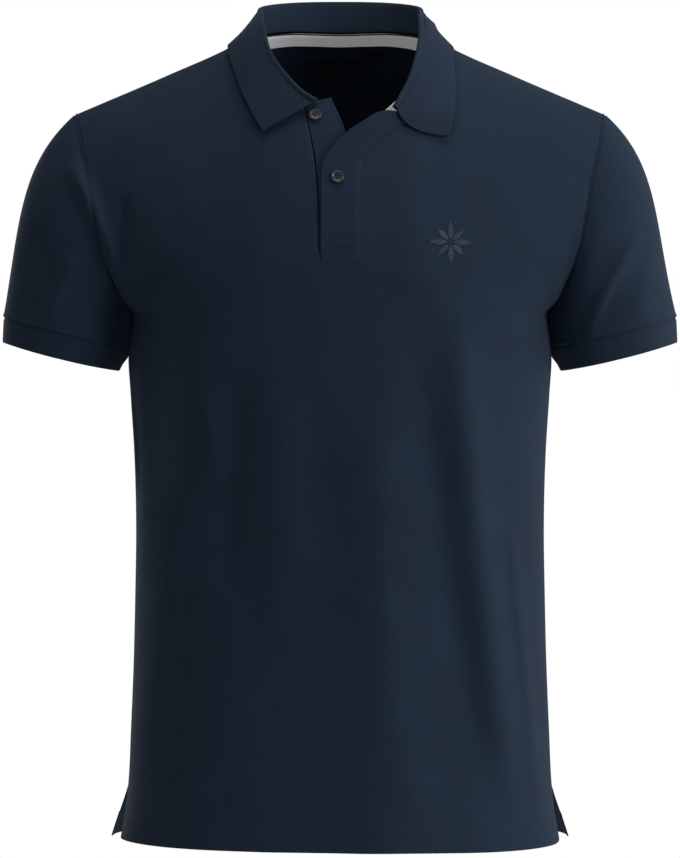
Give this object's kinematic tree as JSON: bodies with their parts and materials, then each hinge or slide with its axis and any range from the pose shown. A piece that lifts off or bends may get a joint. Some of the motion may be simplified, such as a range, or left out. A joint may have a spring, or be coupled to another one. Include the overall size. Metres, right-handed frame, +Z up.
{
  "type": "polo shirt",
  "caption": "Short-sleeved polo shirt in navy pique, filled out as worn with nobody inside, knit collar turned down and button placket part open.",
  "frame": {"origin": "centre line at the level of the high points of the shoulders, where the wearer carries the shirt", "axes": "+Z up, -Y the way the front faces, +X towards the wearer's left"},
  "size_m": [0.606, 0.254, 0.7598],
  "materials": {
    "pique": "matte pique knit, dark navy",
    "rib": "matte flat-knit rib, dark navy",
    "tape": "plain woven tape, off-white",
    "label": "satin woven label, near black, bare",
    "button": "polished smoky grey"
  },
  "bodies": {
    "root": {"front": "pique", "back": "pique", "sleeve_right": "pique", "sleeve_left": "pique", "cuff_right": "rib", "cuff_left": "rib", "collar": "rib", "placket_top": "pique", "placket_under": "pique", "neck_tape": "tape", "neck_label": "label", "size_label": "label", "button_upper": "button", "button_lower": "button"}
  },
  "joints": []
}
